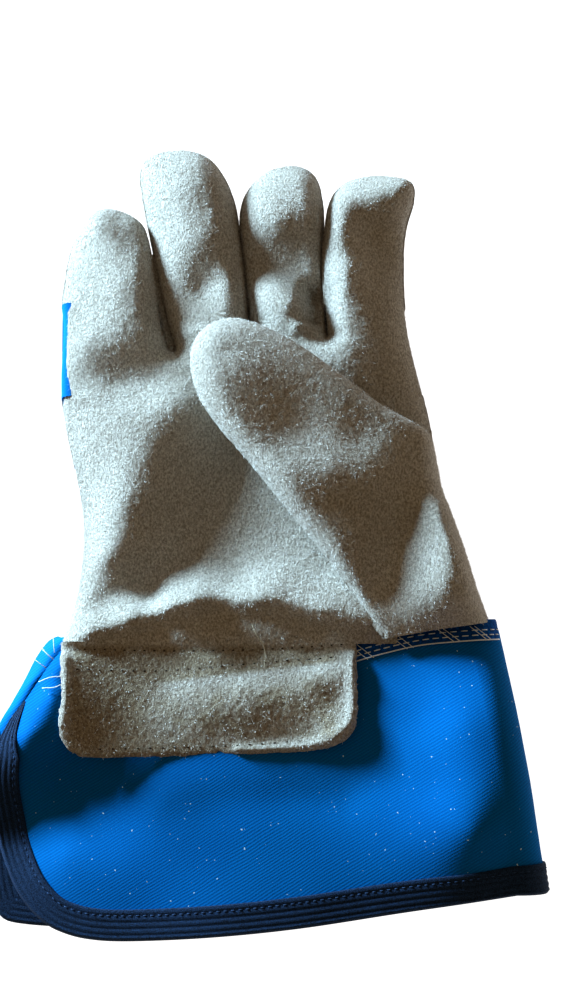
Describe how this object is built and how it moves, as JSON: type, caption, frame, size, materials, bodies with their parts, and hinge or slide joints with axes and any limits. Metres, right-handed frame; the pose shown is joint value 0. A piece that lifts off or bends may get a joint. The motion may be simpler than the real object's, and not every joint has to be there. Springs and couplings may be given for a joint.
{
  "type": "welding glove",
  "caption": "Right-hand rigger-style work glove in split leather and twill, palm up, with folding fingers, a folding thumb and an open safety cuff.",
  "frame": {"origin": "bottom centre of the bounding box, on the surface that the glove lies on", "axes": "+Y towards the fingertips, +Z out of the palm, +X towards the index-finger side"},
  "size_m": [0.1896, 0.2732, 0.0433],
  "materials": {
    "leather": "coarse napped suede split",
    "twill": "cotton drill twill",
    "lining": "brushed cotton",
    "backing": "rubberised stiffening behind the cuff cloth",
    "tape": "ribbed woven tape",
    "thread": "twisted sewing thread",
    "elastic": "woven elastic"
  },
  "bodies": {
    "hand": {"palm_leather": "leather", "palm_lining": "lining", "thumb_base": "leather", "back_panel": "twill", "knuckle_strap": "leather", "back_elastic": "elastic"},
    "thumb": {"thumb_outer": "leather", "thumb_inner": "leather"},
    "cuff": {"cuff_outer": "twill", "cuff_lining": "backing", "cuff_binding": "tape", "palm_tab": "leather", "tab_thread": "thread", "wrist_thread": "thread", "binding_thread": "thread"},
    "little_root": {"little_front_root": "leather", "little_back": "twill"},
    "little_tip": {"little_front_tip": "leather", "little_tip_cap": "leather"},
    "ring_root": {"ring_front_root": "leather", "ring_back": "twill"},
    "ring_tip": {"ring_front_tip": "leather", "ring_tip_cap": "leather"},
    "middle_root": {"middle_front_root": "leather", "middle_back": "twill"},
    "middle_tip": {"middle_front_tip": "leather", "middle_tip_cap": "leather"},
    "index_root": {"index_front_root": "leather", "index_back": "leather"},
    "index_tip": {"index_front_tip": "leather", "index_tip_cap": "leather"}
  },
  "joints": [
    {"name": "thumb_fold", "type": "hinge", "parent": "hand", "child": "thumb", "pos_m": [0.04737, -0.00389, 0.0373], "axis": [0.2218, 0.9703, 0.097], "range_deg": [0, 90]},
    {"name": "wrist_fold", "type": "hinge", "parent": "hand", "child": "cuff", "pos_m": [0.00487, -0.04189, 0.0275], "axis": [-1, 0, 0], "range_deg": [0, 60]},
    {"name": "little_root_fold", "type": "hinge", "parent": "hand", "child": "little_root", "pos_m": [-0.05633, 0.06911, 0.0246], "axis": [0.9998, 0.0175, 0], "range_deg": [0, 70]},
    {"name": "little_middle_fold", "type": "hinge", "parent": "little_root", "child": "little_tip", "pos_m": [-0.05668, 0.08911, 0.02238], "axis": [0.9998, 0.0175, 0], "range_deg": [0, 80]},
    {"name": "ring_root_fold", "type": "hinge", "parent": "hand", "child": "ring_root", "pos_m": [-0.02263, 0.06911, 0.0251], "axis": [0.9903, 0.1392, 0], "range_deg": [0, 70]},
    {"name": "ring_middle_fold", "type": "hinge", "parent": "ring_root", "child": "ring_tip", "pos_m": [-0.02653, 0.09684, 0.02366], "axis": [0.9903, 0.1392, 0], "range_deg": [0, 80]},
    {"name": "middle_root_fold", "type": "hinge", "parent": "hand", "child": "middle_root", "pos_m": [0.00627, 0.06911, 0.0251], "axis": [1, 0, 0], "range_deg": [0, 70]},
    {"name": "middle_middle_fold", "type": "hinge", "parent": "middle_root", "child": "middle_tip", "pos_m": [0.00627, 0.09611, 0.02313], "axis": [1, 0, 0], "range_deg": [0, 80]},
    {"name": "index_root_fold", "type": "hinge", "parent": "hand", "child": "index_root", "pos_m": [0.03467, 0.06911, 0.0251], "axis": [0.9994, -0.0349, 0], "range_deg": [0, 70]},
    {"name": "index_middle_fold", "type": "hinge", "parent": "index_root", "child": "index_tip", "pos_m": [0.03554, 0.09409, 0.02295], "axis": [0.9994, -0.0349, 0], "range_deg": [0, 80]}
  ]
}
